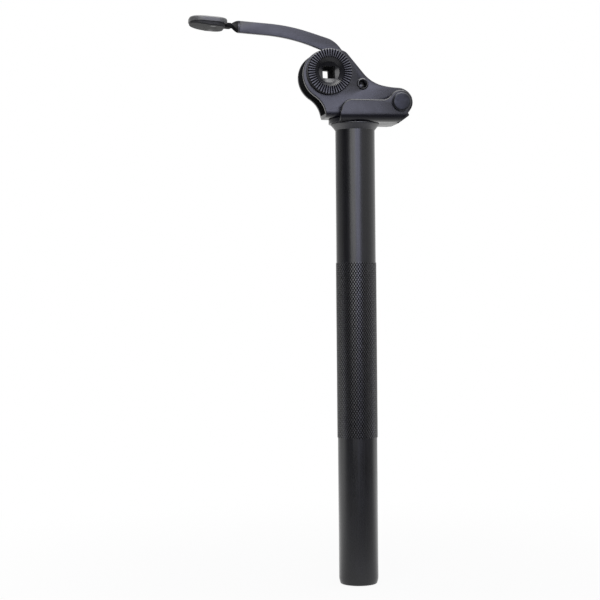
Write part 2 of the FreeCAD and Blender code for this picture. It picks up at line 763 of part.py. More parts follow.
# Lever pivot: semi-tubular rivet, rolled over at its open near end and at its solid far end
def make_lever_rivet():
    body = new_body("lever_rivet")
    bore = dim("rivet_bore") / 2
    rim = dim("rivet_rim") / 2
    end = head_half + dim("rivet_rim_height")
    floor = end - dim("rivet_bore_depth")
    revolve(body, [
        (0.0, -end),
        (rivet_radius, -end),
        (rim, -head_half),
        (rivet_radius, -head_half),
        (rivet_radius, head_half),
        (rim, head_half),
        (rivet_radius, end),
        (bore, end),
        (bore, floor),
        (0.0, floor - dim("rivet_drill")),
    ])
    put(body, dim("lever_x"), lever_up, NEAR)
    return body


def make_lever_spacer(label, diameter, turn):
    return make_ring(label, rivet_radius, diameter / 2, blade_half + dim("side_play"), head_inside,
                     dim("lever_x"), lever_up, turn)


def lever_outline():
    """Side view of the lever: bar, blade between the head plates, latch arm and hook."""
    level = float(seat)
    bar = float(dim("bar_height"))
    tilt = math.radians(float(dim("bar_slope")))
    fall = math.radians(float(dim("fall_slope")))
    slope = math.radians(float(dim("front_slope")))
    rear = Vector(-float(dim("bar_end_x")), level + float(dim("bar_end_rise")), 0)
    run = Vector(math.cos(tilt), -math.sin(tilt), 0)
    up = Vector(math.sin(tilt), math.cos(tilt), 0)
    drop = Vector(math.cos(fall), -math.sin(fall), 0)
    down = Vector(math.cos(slope), -math.sin(slope), 0)
    out = Vector(math.sin(slope), math.cos(slope), 0)
    top_rear = rear + up * (bar / 2)
    low_rear = rear - up * (bar / 2)
    column = Vector(-float(dim("bend_x")), 0, 0)
    top_bend = crossing(top_rear, run, column, Vector(0, 1, 0))
    low_bend = crossing(low_rear, run, column, Vector(0, 1, 0))
    edge = clamp + out * float(dim("front_offset") + dim("blade_proud"))
    shoulder = crossing(top_bend, drop, edge, down)
    throat = Vector(-float(dim("throat_x")), level + float(dim("throat_rise")), 0)
    boss = float(dim("blade_boss"))
    arm_front = float(dim("arm_front"))
    arm_rear = -float(dim("arm_rear"))
    arm_corner = float(dim("arm_corner"))
    hook_round = float(dim("hook_round"))
    hook_top = level - float(dim("hook_under"))
    nose = float(dim("window_front") - dim("hook_play"))
    hook_low = hook_top - float(dim("hook_height"))
    front_low = crossing(edge, down, Vector(hinge.x + boss, 0, 0), Vector(0, 1, 0))
    chin_up = hinge.y - boss
    return rounded([
        (top_rear, 0),
        (top_bend, float(dim("bend_radius"))),
        (shoulder, float(dim("shoulder_radius"))),
        (front_low, boss),
        (Vector(hinge.x + boss, chin_up, 0), arm_corner),
        (Vector(arm_front, chin_up - arm_corner, 0), arm_corner),
        (Vector(arm_front, hook_top, 0), 0),
        (Vector(nose, hook_top, 0), 0),
        (Vector(nose, hook_top - hook_round, 0), hook_round / 2),
        (Vector(arm_front - hook_round, hook_low, 0), hook_round),
        (Vector(arm_rear, hook_low, 0), hook_round),
        (Vector(arm_rear, chin_up, 0), arm_corner),
        (Vector(hinge.x - boss, hinge.y, 0), arm_corner),
        (throat, float(dim("blade_throat"))),
        (low_bend, float(dim("bend_radius")) - bar),
        (low_rear, 0),
    ])


# Lever plate: one flat bar, cut to the outline, twisted a quarter turn and left flat in the grip
def make_lever_plate():
    outline = Part.Face(Part.Wire(Part.__sortEdges__([p.toShape() for p in lever_outline()])))
    side_view = FreeCAD.Placement(Vector(0, float(blade_half), 0), FreeCAD.Rotation(Vector(1, 0, 0), 90))
    outline.Placement = side_view
    blade = outline.extrude(Vector(0, -2 * float(blade_half), 0))
    hole = Part.makeCylinder(float(rivet_radius + dim("running_play")), float(dim("base_width")),
                             Vector(hinge.x, -float(base_half), hinge.y), Vector(0, 1, 0))
    blade = blade.cut(hole)

    # the twist and the tang lie on the bar's own slope
    start, back, up = bar_frame()
    side = Vector(0, 1, 0)
    tall = float(dim("bar_height")) / 2
    thin = float(blade_half)

    def section(distance, degrees):
        angle = math.radians(degrees)
        long_way = up * math.cos(angle) + side * math.sin(angle)
        short_way = side * math.cos(angle) - up * math.sin(angle)
        middle = start + back * distance
        corners = [
            middle + long_way * (tall * a) + short_way * (thin * b)
            for a, b in ((1, 1), (1, -1), (-1, -1), (-1, 1))
        ]
        return Part.makePolygon(corners + corners[:1])

    steps = 6
    length = float(dim("twist_length"))
    twist = Part.makeLoft([section(length * i / steps, 90 * i / steps) for i in range(steps + 1)], True)
    tang = Part.Face(section(length, 90)).extrude(back * float(dim("tang_length")))
    feature = doc.addObject("Part::Feature", "lever_plate")
    feature.Label = "lever_plate"
    feature.Shape = blade.fuse([twist, tang]).removeSplitter()
    return feature


def bar_frame():
    """The rear end of the upright bar, the way on towards the grip, and the bar's own up."""
    tilt = math.radians(float(dim("bar_slope")))
    start = Vector(-float(dim("bar_end_x")), 0, float(seat + dim("bar_end_rise")))
    back = Vector(-math.cos(tilt), 0, math.sin(tilt))
    up = Vector(math.sin(tilt), 0, math.cos(tilt))
    return start, back, up


def put_on_bar(thing, distance):
    """Places a piece that is modelled along X, with its middle on the bar's line."""
    start, back, up = bar_frame()
    turn = FreeCAD.Rotation(Vector(0, 1, 0), float(dim("bar_slope")))
    thing.Placement = FreeCAD.Placement(start + back * float(distance), turn)


# Grip: two moulded halves that close on the tang, with two screws from below
def make_grip_half(label, below):
    body = new_body(label)
    height = dim("grip_bottom") if below else dim("grip_top")
    edge = dim("grip_edge_bottom") if below else dim("grip_edge_top")
    inset = float(dim("grip_inset")) if below else 0.0
    setback = float(dim("grip_setback")) if below else 0.0
    rear = -float(dim("grip_length")) / 2 + inset
    front = float(dim("grip_length")) / 2 - setback
    side = float(dim("grip_width")) / 2 - inset
    plan = new_sketch(body, label + "_plan", "XY_Plane")
    draw_curve(plan, rounded([
        (Vector(rear, -side, 0), float(dim("grip_corner_rear")) - inset),
        (Vector(front, -side, 0), float(dim("grip_corner_front")) - inset),
        (Vector(front, side, 0), float(dim("grip_corner_front")) - inset),
        (Vector(rear, side, 0), float(dim("grip_corner_rear")) - inset),
    ]))
    pad(body, plan, height, backwards=below)
    if below:
        # the underside rises towards the rear end
        low = -float(height)
        taper = new_sketch(body, label + "_taper", "XZ_Plane")
        beyond = rear - inset
        rise = float(dim("grip_taper")) * (0 - beyond) / (0 - rear)
        draw_curve(taper, [
            line(Vector(0, low, 0), Vector(beyond, low, 0)),
            line(Vector(beyond, low, 0), Vector(beyond, low + rise, 0)),
            line(Vector(beyond, low + rise, 0), Vector(0, low, 0)),
        ])
        pocket(body, taper, dim("grip_width") * 2, both_ways=True)
    block = body.Tip
    rim = [
        f"Edge{i + 1}" for i, e in enumerate(block.Shape.Edges)
        if is_rim(e, float(height) if not below else 0.0, below)
    ]
    round_edge = body.newObject("PartDesign::Fillet", label + "_edge")
    round_edge.Base = (block, rim)
    round_edge.Radius = float(edge)
    bind(round_edge, "Radius", edge)
    doc.recompute()
    slot = new_sketch(body, label + "_slot", "XY_Plane")
    mouth = dim("grip_length") / 2 + dim("tang_play")
    covered = dim("twist_length") + dim("tang_length") - dim("grip_start") + dim("tang_play")
    half_bar = dim("bar_height") / 2 + dim("tang_play")
    draw_rectangle(slot, mouth - covered - dim("tang_play"), -half_bar, mouth, half_bar)
    pocket(body, slot, blade_half + dim("tang_play"), backwards=not below)
    for hand, name in ((1, "left"), (-1, "right")):
        well = new_sketch(body, f"{label}_screw_{name}", "XY_Plane", -dim("grip_bottom"))
        draw_circle(well, screw_x(), dim("screw_spread") / 2 * hand, dim("screw_diameter") / 2)
        pocket(body, well, dim("screw_length") + dim("screw_head_height"), backwards=True)
        if below:
            recess = new_sketch(body, f"{label}_recess_{name}", "XY_Plane", -dim("grip_bottom"))
            draw_circle(recess, screw_x(), dim("screw_spread") / 2 * hand, dim("screw_head") / 2)
            pocket(body, recess, dim("screw_head_height"), backwards=True)
    put_on_bar(body, dim("grip_start") + dim("grip_length") / 2)
    doc.recompute()
    return body


def is_rim(edge, level, below):
    """An edge of the outer face: at the top of the upper half, under the lower half's middle."""
    heights = [v.Point.z for v in edge.Vertexes]
    upright = len(heights) == 2 and abs(edge.Vertexes[0].Point.x - edge.Vertexes[1].Point.x) < 1e-6 \
        and abs(edge.Vertexes[0].Point.y - edge.Vertexes[1].Point.y) < 1e-6
    if upright:
        return False
    if below:
        crease = all(abs(v.Point.x) < 1e-6 for v in edge.Vertexes)
        return max(heights) < -1e-6 and not crease
    return all(abs(height - level) < 1e-6 for height in heights)


def screw_x():
    """The screws stand on each side of the tang, where the lower half is thickest."""
    return dim("grip_length") / 8


def make_grip_screws():
    """Two flat-headed screws as one group of separate solids, heads flush with the underside."""
    low = -dim("grip_bottom")
    head = dim("screw_head") / 2
    shank = dim("screw_diameter") / 2
    step = low + dim("screw_head_height")
    screws = []
    for side in (1, -1):
        profile = Part.makePolygon([
            Vector(0, 0, float(low)),
            Vector(float(head), 0, float(low)),
            Vector(float(head), 0, float(step)),
            Vector(float(shank), 0, float(step)),
            Vector(float(shank), 0, float(step + dim("screw_length"))),
            Vector(0, 0, float(step + dim("screw_length"))),
            Vector(0, 0, float(low)),
        ])
        screw = Part.Face(profile).revolve(Vector(0, 0, 0), Vector(0, 0, 1), 360)
        screw.translate(Vector(float(screw_x()), float(dim("screw_spread")) / 2 * side, 0))
        screws.append(screw)
    feature = doc.addObject("Part::Feature", "grip_screws")
    feature.Label = "grip_screws"
    feature.Shape = Part.makeCompound(screws)
    put_on_bar(feature, dim("grip_start") + dim("grip_length") / 2)
    return feature


# Return spring: a torsion coil round the near spacer, one leg on the web, one behind the arm
def biarc(p0, t0, p1, t1):
    """Two arcs that leave p0 along t0 and reach p1 along t1, as edges with their points."""
    gap = p1 - p0
    both = t0 + t1
    spread = 2 * (1 - t0.dot(t1))
    reach = (-gap.dot(both) + math.sqrt(gap.dot(both) ** 2 + spread * gap.dot(gap))) / spread
    joint = (p0 + p1 + (t0 - t1) * reach) / 2
    edges, points = [], []
    for start, corner, end in ((p0, p0 + t0 * reach, joint), (joint, p1 - t1 * reach, p1)):
        middle = (start + end) / 2
        half = (end - start).Length / 2
        rise = (corner - middle).Length
        bow = half * math.tan(math.atan2(rise, half) / 2)
        top = middle + (corner - middle).normalize() * bow
        curve = Part.Arc(start, top, end)
        edges.append(curve.toShape())
        points += edges[-1].discretize(12)
    return edges, points


def make_lever_spring():
    wire = float(dim("spring_wire"))
    radius = float(dim("spring_radius"))
    pitch = float(dim("spring_pitch"))
    turns = 2.5
    low = float(blade_half + dim("side_play")) + wire / 2 + float(dim("side_play"))
    high = low + pitch * turns
    quarters = int(turns * 4)
    nodes = []
    for i in range(quarters + 1):
        angle = math.radians(90 * i)
        depth = high - pitch * i / 4
        place = Vector(hinge.x + radius * math.cos(angle), -depth, hinge.y + radius * math.sin(angle))
        rise = pitch / 4 / (math.pi / 2)
        way = Vector(-radius * math.sin(angle), rise, radius * math.cos(angle)).normalize()
        nodes.append([place, way])
    nodes[0][1] = Vector(0, 0, 1)
    nodes[-1][1] = Vector(0, 0, -1)
    leg_end = Vector(nodes[0][0].x, nodes[0][0].y, float(head_floor + dim("spring_leg_gap")))
    edges = [Part.LineSegment(leg_end, nodes[0][0]).toShape()]
    points = edges[0].discretize(40)[:-1]
    for (p0, t0), (p1, t1) in zip(nodes, nodes[1:]):
        more, sampled = biarc(p0, t0, p1, t1)
        edges += more
        points += sampled
    bend = float(dim("spring_bend"))
    catch_end = nodes[-1][0] + nodes[-1][1] * float(dim("spring_catch"))
    edges.append(Part.LineSegment(nodes[-1][0], catch_end).toShape())
    points += edges[-1].discretize(30)[1:]
    centre = catch_end + Vector(0, bend, 0)
    low_side = math.sqrt(0.5) * bend
    bent = Part.Arc(catch_end, centre + Vector(0, -low_side, -low_side), centre + Vector(0, 0, -bend))
    edges.append(bent.toShape())
    tip = centre + Vector(0, float(dim("spring_tip")), -bend)
    edges.append(Part.LineSegment(centre + Vector(0, 0, -bend), tip).toShape())

    path = Part.Wire(edges)
    circle = Part.Circle(leg_end, Vector(0, 0, 1), wire / 2)
    pipe = Part.BRepOffsetAPI.MakePipeShell(path)
    pipe.add(Part.Wire(circle.toShape()))
    pipe.build()
    pipe.makeSolid()
    solid = pipe.shape()
    print(f"spring: least gap to itself {least_gap(points, wire):.2f} mm, "
          f"volume {solid.Volume:.1f} of {path.Length * math.pi * wire ** 2 / 4:.1f} mm3")
    feature = doc.addObject("Part::Feature", "lever_spring")
    feature.Label = "lever_spring"
    feature.Shape = solid
    return feature


def least_gap(points, wire):
    """The least air between stretches of the wire that are more than half a turn apart."""
    along = [0.0]
    for before, after in zip(points, points[1:]):
        along.append(along[-1] + (after - before).Length)
    apart = math.pi * float(dim("spring_radius"))
    return min(
        (points[i] - points[j]).Length - wire
        for i in range(len(points)) for j in range(i)
        if along[i] - along[j] > apart
    )


pieces = [
    make_post_tube(),
    make_neck_collar(),
    make_base_bracket(),
    make_pivot_bolt(),
    make_pivot_washer(),
    make_pivot_nut(),
    make_saddle_bracket(),
    make_serrated_disc("serrated_disc_near", NEAR),
    make_serrated_disc("serrated_disc_far", FAR),
    make_pivot_bush("pivot_bush_near", NEAR),
    make_pivot_bush("pivot_bush_far", FAR),
    make_pivot_sleeve(),
    make_lever_rivet(),
    make_lever_spacer("lever_spacer_near", dim("near_spacer"), NEAR),
    make_lever_spacer("lever_spacer_far", dim("far_spacer"), FAR),
    make_lever_plate(),
    make_grip_half("grip_top_half", below=False),
    make_grip_half("grip_bottom_half", below=True),
    make_grip_screws(),
    make_lever_spring(),
]
doc.recompute()

for thing in doc.Objects:
    if "Invalid" in thing.State or "Error" in thing.State:
        raise RuntimeError(f"{thing.Label} failed: {thing.State}")
for piece in pieces:
    if piece.Shape.isNull() or not piece.Shape.isValid():
        raise RuntimeError(f"{piece.Label} has no valid shape")

os.makedirs("parts", exist_ok=True)
for piece in pieces:
    piece.Shape.exportStep(os.path.join("parts", piece.Label + ".step"))
    box = piece.Shape.BoundBox
    print(f"{piece.Label}: {len(piece.Shape.Solids)} solid, {piece.Shape.Volume:.1f} mm3, "
          f"x {box.XMin:.1f} to {box.XMax:.1f}, y {box.YMin:.1f} to {box.YMax:.1f}, "
          f"z {box.ZMin:.1f} to {box.ZMax:.1f}")
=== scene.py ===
import bpy
import math
from mathutils import Matrix, Vector


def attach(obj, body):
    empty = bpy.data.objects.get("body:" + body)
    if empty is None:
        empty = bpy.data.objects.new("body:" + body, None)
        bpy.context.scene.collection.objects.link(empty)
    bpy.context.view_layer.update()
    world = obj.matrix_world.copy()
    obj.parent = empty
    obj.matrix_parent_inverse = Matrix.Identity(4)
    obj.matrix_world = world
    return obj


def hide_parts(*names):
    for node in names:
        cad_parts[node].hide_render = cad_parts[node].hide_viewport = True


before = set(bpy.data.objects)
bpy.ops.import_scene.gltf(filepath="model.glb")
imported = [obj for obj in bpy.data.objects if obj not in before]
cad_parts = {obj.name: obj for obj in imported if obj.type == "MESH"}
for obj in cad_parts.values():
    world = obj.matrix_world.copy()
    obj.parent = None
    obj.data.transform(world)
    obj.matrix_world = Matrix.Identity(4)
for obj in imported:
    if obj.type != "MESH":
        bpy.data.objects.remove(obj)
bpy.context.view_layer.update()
bpy.ops.object.select_all(action="DESELECT")

MM = 0.001

# Sizes and places in the frame. The seat is the underside of the base's web. Above it come the
# base's web of 3 mm, 0.3 mm of air and the head's web of 3 mm. The base's edges above BASE_RIM are
# those of its free flanges.
POST_RADIUS = 13.6 * MM
BORE_RADIUS = 11.3 * MM
FOOT = -100.7 * MM
FOOT_BEVEL = 3.2 * MM
KNURL_TOP = 120.5 * MM
SEAT = 216.6 * MM
BASE_RIM = SEAT + 5.5 * MM
WEB_TOP = SEAT + 6.3 * MM
CHANNEL_HALF = 7.0 * MM
CLAMP_X = -20.8 * MM
CLAMP_Z = 250.3 * MM
SQUARE = 8.4 * MM
COIL_Z = 243.05 * MM
TWIST_X = -87.0 * MM
TWIST_HALF = 5.4 * MM

# Knurl: the grooves lie at the tube's surface, to 0.02 mm, and the crests stand up from them
KNURL_COLUMNS = 48
KNURL_PITCH = 2.9 * MM
KNURL_GROOVE = POST_RADIUS + 0.02 * MM
CREST_INSET = 0.27 * MM
CREST_HEIGHT = 0.34 * MM
BAND_END_SHRINK = 0.965

# Points nearer than this are one point
MERGE = 0.002 * MM
KNURL_MERGE = 0.03 * MM

# Faces that meet at less than the first angle are one face. Edges sharper than the second are
# rounded. Shading is smooth across edges below the third, and on the turned tube the fourth.
FLAT_ANGLE = math.radians(0.4)
SHARP_ANGLE = math.radians(38)
SMOOTH_ANGLE = math.radians(32)
TUBE_SMOOTH_ANGLE = math.radians(25)

# Heights below and above the whole object, in metres
LOWEST = -1.0
HIGHEST = 1.0
FINE_EDGE_MM = 0.15

# Part of a noise's range that is stretched to the full one, for a slow cloud and a fine grain
CLOUD = (0.35, 0.65)
GRAIN = (0.3, 0.7)

# Painted shade: in shaded places the coating is painted nearly black, rough, and hardly shines
PAINTED_SHADE_COLOUR = "#09090a"
PAINTED_SHADE_ROUGHNESS = 0.7
PAINTED_SHADE_SHEEN = 0.12


def colour(text):
    """A linear colour from its sRGB hex value."""
    values = [int(text[i:i + 2], 16) / 255 for i in (1, 3, 5)]
    linear = [v / 12.92 if v <= 0.04045 else ((v + 0.055) / 1.055) ** 2.4 for v in values]
    return (*linear, 1.0)


# Short forms for the nodes that the materials share
def feed(tree, node, inputs):
    """Gives a node's inputs, by socket name or number, their values or another node's output."""
    for name, value in inputs.items():
        if isinstance(value, bpy.types.NodeSocket):
            tree.links.new(value, node.inputs[name])
        else:
            node.inputs[name].default_value = value


def add_node(tree, kind, inputs, **settings):
    node = tree.nodes.new(kind)
    for name, value in settings.items():
        setattr(node, name, value)
    feed(tree, node, inputs)
    return node


def start_material(name):
    """A new material with its tree, its shader and the place in the object's own axes."""
    material = bpy.data.materials.new(name)
    material.use_nodes = True
    tree = material.node_tree
    place = add_node(tree, "ShaderNodeTexCoord", {}).outputs["Object"]
    return material, tree, tree.nodes["Principled BSDF"], place


def noise(tree, place, size_mm, detail):
    """Noise with features of about this size."""
    return add_node(tree, "ShaderNodeTexNoise", {
        "Vector": place, "Scale": 1000 / size_mm, "Detail": detail}).outputs["Fac"]


def calculate(tree, operation, *values):
    """The result of a Math node."""
    return add_node(
        tree, "ShaderNodeMath", dict(enumerate(values)), operation=operation).outputs[0]


def ranged(tree, value, source, target=(0.0, 1.0), **settings):
    """A value mapped from one range to another and held between the ends."""
    return add_node(tree, "ShaderNodeMapRange", {
        "Value": value, "From Min": source[0], "From Max": source[1],
        "To Min": target[0], "To Max": target[1]}, **settings).outputs["Result"]


def mixed(tree, share, low, high):
    """Two colours mixed. A Mix node takes them at inputs 6 and 7 and gives output 2."""
    return add_node(
        tree, "ShaderNodeMix", {0: share, 6: low, 7: high}, data_type="RGBA").outputs[2]


def cloudy(tree, cloud, low, high):
    """A colour that drifts between two hex values as the noise does."""
    return mixed(tree, ranged(tree, cloud, CLOUD), colour(low), colour(high))


def relief(tree, height, depth_mm):
    """A normal that is bumped by a height."""
    return add_node(tree, "ShaderNodeBump", {
        "Height": height, "Distance": depth_mm * MM}).outputs["Normal"]


def either(tree, share, first, second):
    """Two shaders mixed."""
    return add_node(tree, "ShaderNodeMixShader", {0: share, 1: first, 2: second}).outputs[0]


def axes_of(tree, vector):
    return add_node(tree, "ShaderNodeSeparateXYZ", {0: vector}).outputs


# Places that get painted shade, where shade falls on the black
def shelter(tree, along, centre, half):
    """One within a distance of a plane, falling to none just outside."""
    away = calculate(tree, "ABSOLUTE", calculate(tree, "SUBTRACT", along, centre))
    return ranged(tree, away, (half + 0.05 * MM, half + 0.25 * MM), (1.0, 0.0))


def in_clamp_hole(tree, axes):
    """One on the walls of the square hole."""
    across = shelter(tree, axes["X"], CLAMP_X, SQUARE / 2)
    along = shelter(tree, axes["Z"], CLAMP_Z, SQUARE / 2)
    return calculate(tree, "MINIMUM", across, along)


def in_channel_or_hole(tree, axes):
    """One between the head's two plates, above its web, and on the walls of the square hole."""
    hole = in_clamp_hole(tree, axes)
    between = shelter(tree, axes["Y"], 0.0, CHANNEL_HALF)
    above = ranged(tree, axes["Z"], (WEB_TOP - 0.2 * MM, WEB_TOP + 0.2 * MM))
    return calculate(tree, "MAXIMUM", calculate(tree, "MINIMUM", between, above), hole)


def on_twist(tree, axes):
    """One where the lever's bar is forged round by a quarter turn."""
    return shelter(tree, axes["X"], TWIST_X, TWIST_HALF)


# Materials
def dipped_black(name, low, high, roughness, sheen=0.5, shade_where=None):
    """Electrophoretic black on pressed steel: a smooth bluish film, as deep as lacquer.

    A faint orange peel softens what it mirrors. The film is painted nearly black, rough and dull
    inside a narrow channel, in a square hole and on a forged twist that faces away from the light:
    painted shade."""
    material, tree, shader, place = start_material(name)
    film = cloudy(tree, noise(tree, place, 14, 3), low, high)
    gloss = ranged(tree, noise(tree, place, 4, 4), GRAIN, (roughness - 0.03, roughness + 0.04))
    # Painted shade: inside the marked places the film is painted near black, rough and hardly
    # shining
    if shade_where:
        shaded = shade_where(tree, axes_of(tree, place))
        film = mixed(tree, shaded, film, colour(PAINTED_SHADE_COLOUR))
        gloss = ranged(tree, shaded, (0.0, 1.0), (gloss, PAINTED_SHADE_ROUGHNESS))
        sheen = ranged(tree, shaded, (0.0, 1.0), (sheen, PAINTED_SHADE_SHEEN))
    feed(tree, shader, {
        "Base Color": film, "Roughness": gloss, "Specular IOR Level": sheen,
        "Normal": relief(tree, noise(tree, place, 0.9, 2), 0.004)})
    return material


def drawn_tube_black():
    """Drawn tube under the same black: fine lines along the post from the drawing die."""
    material, tree, shader, place = start_material("dipped_black_drawn_tube")
    stretched = add_node(tree, "ShaderNodeMapping", {"Vector": place, "Scale": (1.0, 1.0, 0.02)})
    lines = noise(tree, stretched.outputs["Vector"], 0.8, 2)
    feed(tree, shader, {
        "Base Color": cloudy(tree, noise(tree, place, 20, 2), "#0f0f11", "#141417"),
        "Roughness": ranged(tree, lines, GRAIN, (0.24, 0.31)),
        "Normal": relief(tree, lines, 0.002)})
    return material


def knurl_black():
    """Knurled steel: the rolled crests shine like the tube. The grooves are painted near black and
    given no shine, as painted shade in the hollows.
    """
    material, tree, shader, place = start_material("dipped_black_knurl")
    flat = add_node(tree, "ShaderNodeMapping", {"Vector": place, "Scale": (1.0, 1.0, 0.0)})
    radius = add_node(
        tree, "ShaderNodeVectorMath", {0: flat.outputs["Vector"]}, operation="LENGTH")
    crest = ranged(tree, radius.outputs["Value"], (13.75 * MM, 13.92 * MM))
    grain = noise(tree, place, 0.5, 2)
    # Painted shade: the grooves are near black and do not shine, while the crests are lighter and
    # shine
    feed(tree, shader, {
        "Base Color": mixed(tree, crest, colour("#020202"), colour("#18181b")),
        "Roughness": ranged(tree, grain, GRAIN, (0.24, 0.34)),
        "Specular IOR Level": ranged(tree, crest, (0.0, 1.0), (0.0, 0.9)),
        "Normal": relief(tree, grain, 0.006)})
    return material


def moulded_nylon(name, low, high, roughness, sheen=0.5):
    """Glass-filled nylon: moulded, with a fine spark-eroded grain that scatters the light."""
    material, tree, shader, place = start_material(name)
    grain = noise(tree, place, 0.45, 3)
    feed(tree, shader, {
        "Base Color": cloudy(tree, noise(tree, place, 6, 2), low, high),
        "Roughness": ranged(tree, grain, GRAIN, (roughness - 0.06, roughness + 0.06)),
        "Normal": relief(tree, grain, 0.02), "IOR": 1.53, "Specular IOR Level": sheen})
    return material


def black_oxide():
    """Black oxide on machined steel: a fine dark skin that still reflects like metal."""
    material, tree, shader, place = start_material("black_oxide_steel")
    grain = noise(tree, place, 0.6, 3)
    feed(tree, shader, {
        "Base Color": cloudy(tree, noise(tree, place, 4, 3), "#26272b", "#303136"),
        "Roughness": ranged(tree, grain, GRAIN, (0.32, 0.44)),
        "Normal": relief(tree, grain, 0.006), "Metallic": 0.75})
    return material


def spring_wire():
    """Patented spring wire: bright, with faint draw marks."""
    material, tree, shader, place = start_material("drawn_spring_wire")
    grain = noise(tree, place, 0.3, 2)
    feed(tree, shader, {
        "Base Color": mixed(tree, grain, colour("#8c8c90"), colour("#a2a2a6")),
        "Roughness": ranged(tree, grain, GRAIN, (0.25, 0.35)), "Metallic": 1.0})
    return material


TUBE_BLACK = drawn_tube_black()
KNURL_BLACK = knurl_black()
COLLAR_BLACK = dipped_black("dipped_black_welded_collar", "#2c2c2e", "#363638", 0.36)
BRACKET_BLACK = dipped_black("dipped_black_pressed_steel", "#131317", "#18181d", 0.28, 0.44)
# Painted shade on the head's channel and square hole, the disc's square hole and the lever's twist
HEAD_BLACK = dipped_black(
    "dipped_black_saddle_plates", "#131319", "#18181f", 0.28, 0.52, in_channel_or_hole)
DISC_BLACK = dipped_black(
    "dipped_black_serrated_disc", "#101013", "#151519", 0.26, 0.68, in_clamp_hole)
LEVER_BLACK = dipped_black("dipped_black_flat_bar", "#16161d", "#1c1c24", 0.34, 0.6, on_twist)
BOLT_BLACK = black_oxide()
# The grip's bottom half is a darker, duller copy of the top half's nylon: painted shade for its
# underside
GRIP_TOP_NYLON = moulded_nylon("moulded_nylon_grip_top", "#484848", "#525252", 0.42)
GRIP_BOTTOM_SHADED_NYLON = moulded_nylon("moulded_nylon_grip_bottom_shaded", "#232324", "#2b2b2c", 0.6, 0.2)
BUSH_NYLON = moulded_nylon("moulded_nylon_bush", "#161618", "#1d1d1f", 0.45)
SPRING_BRIGHT = spring_wire()


# Putting pieces in the frame
def dress(piece, material):
    piece.data.materials.clear()
    piece.data.materials.append(material)


def settle(piece, body, slot, material, *nodes):
    """Gives a piece its looks and body, and hides the CAD nodes that it stands for. Its slot is not
    used.
    """
    dress(piece, material)
    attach(piece, body)
    if nodes:
        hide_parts(*nodes)


def only(piece):
    """Leaves one object selected and active."""
    bpy.ops.object.select_all(action="DESELECT")
    piece.select_set(True)
    bpy.context.view_layer.objects.active = piece


def apply_all(piece):
    only(piece)
    for modifier in list(piece.modifiers):
        bpy.ops.object.modifier_apply(modifier=modifier.name)


def pick(mesh, items):
    """Leaves only these parts of a mesh selected."""
    for group in (mesh.vertices, mesh.edges, mesh.polygons):
        group.foreach_set("select", [False] * len(group))
    for item in items:
        item.select = True


def copy_of(node, name):
    """A copy of a CAD piece, as a piece of its own with its mesh merged and open for editing."""
    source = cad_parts[node]
    piece = source.copy()
    piece.data = source.data.copy()
    piece.name = name
    piece.data.name = name
    piece.parent = None
    piece.hide_viewport = False
    piece.hide_render = False
    for key in list(piece.keys()):
        if key.startswith("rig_"):
            del piece[key]
    bpy.context.scene.collection.objects.link(piece)
    only(piece)
    bpy.ops.object.mode_set(mode="EDIT")
    bpy.ops.mesh.select_all(action="SELECT")
    bpy.ops.mesh.remove_doubles(threshold=MERGE)
    return piece


def softened(node, name, width_mm, body, slot, material, above=LOWEST):
    """A copy of a CAD piece with its edges rounded, as tumbling and coating leave them.

    Edges that lie above a height get the full width, and those below it only the fine one."""
    piece = copy_of(node, name)
    mesh = piece.data
    bpy.ops.mesh.dissolve_limited(angle_limit=FLAT_ANGLE)
    for width, low, high in ((width_mm, above, HIGHEST), (FINE_EDGE_MM, LOWEST, above)):
        bpy.ops.mesh.select_mode(type="EDGE")
        bpy.ops.mesh.select_all(action="DESELECT")
        bpy.ops.mesh.edges_select_sharp(sharpness=SHARP_ANGLE)
        bpy.ops.object.mode_set(mode="OBJECT")
        chosen = []
        for edge in mesh.edges:
            heights = [mesh.vertices[i].co.z for i in edge.vertices]
            if edge.select and low <= min(heights) and max(heights) <= high:
                chosen.append(edge)
        pick(mesh, chosen)
        bpy.ops.object.mode_set(mode="EDIT")
        if chosen:
            bpy.ops.mesh.bevel(
                offset=width * MM, segments=3, profile=0.5, affect="EDGES",
                clamp_overlap=width == FINE_EDGE_MM)
    bpy.ops.object.mode_set(mode="OBJECT")
    bpy.ops.object.shade_smooth_by_angle(angle=SMOOTH_ANGLE)
    settle(piece, body, slot, material, node)


def make_spring():
    """Return spring, in two pieces cut from one solid.

    The coil and its front leg stay in the head. The rear leg swings with the lever, which turns
    about the coil's own axis."""
    rear_side = -1.0 * MM
    last_turn = -3.2 * MM
    cut_margin = 0.8 * MM

    def rear_leg(mesh, top):
        return [
            face for face in mesh.polygons
            if face.center.x < rear_side and face.center.y > last_turn
            and face.center.z < top]

    for name, body, nodes in (
        ("return_spring_coil", "head", ["lever_spring"]),
        ("return_spring_rear_leg", "lever", []),
    ):
        piece = copy_of("lever_spring", name)
        mesh = piece.data
        bpy.ops.mesh.select_mode(type="FACE")
        bpy.ops.object.mode_set(mode="OBJECT")
        pick(mesh, rear_leg(mesh, COIL_Z + cut_margin))
        bpy.ops.object.mode_set(mode="EDIT")
        bpy.ops.mesh.bisect(plane_co=(0, 0, COIL_Z), plane_no=(0, 0, 1))
        bpy.ops.object.mode_set(mode="OBJECT")
        pick(mesh, rear_leg(mesh, COIL_Z))
        bpy.ops.object.mode_set(mode="EDIT")
        if body == "lever":
            bpy.ops.mesh.select_all(action="INVERT")
        bpy.ops.mesh.delete(type="FACE")
        bpy.ops.mesh.select_mode(type="EDGE")
        bpy.ops.mesh.select_non_manifold()
        bpy.ops.mesh.edge_face_add()
        bpy.ops.object.mode_set(mode="OBJECT")
        bpy.ops.object.shade_smooth_by_angle(angle=SMOOTH_ANGLE)
        settle(piece, body, "spring_steel", SPRING_BRIGHT, *nodes)


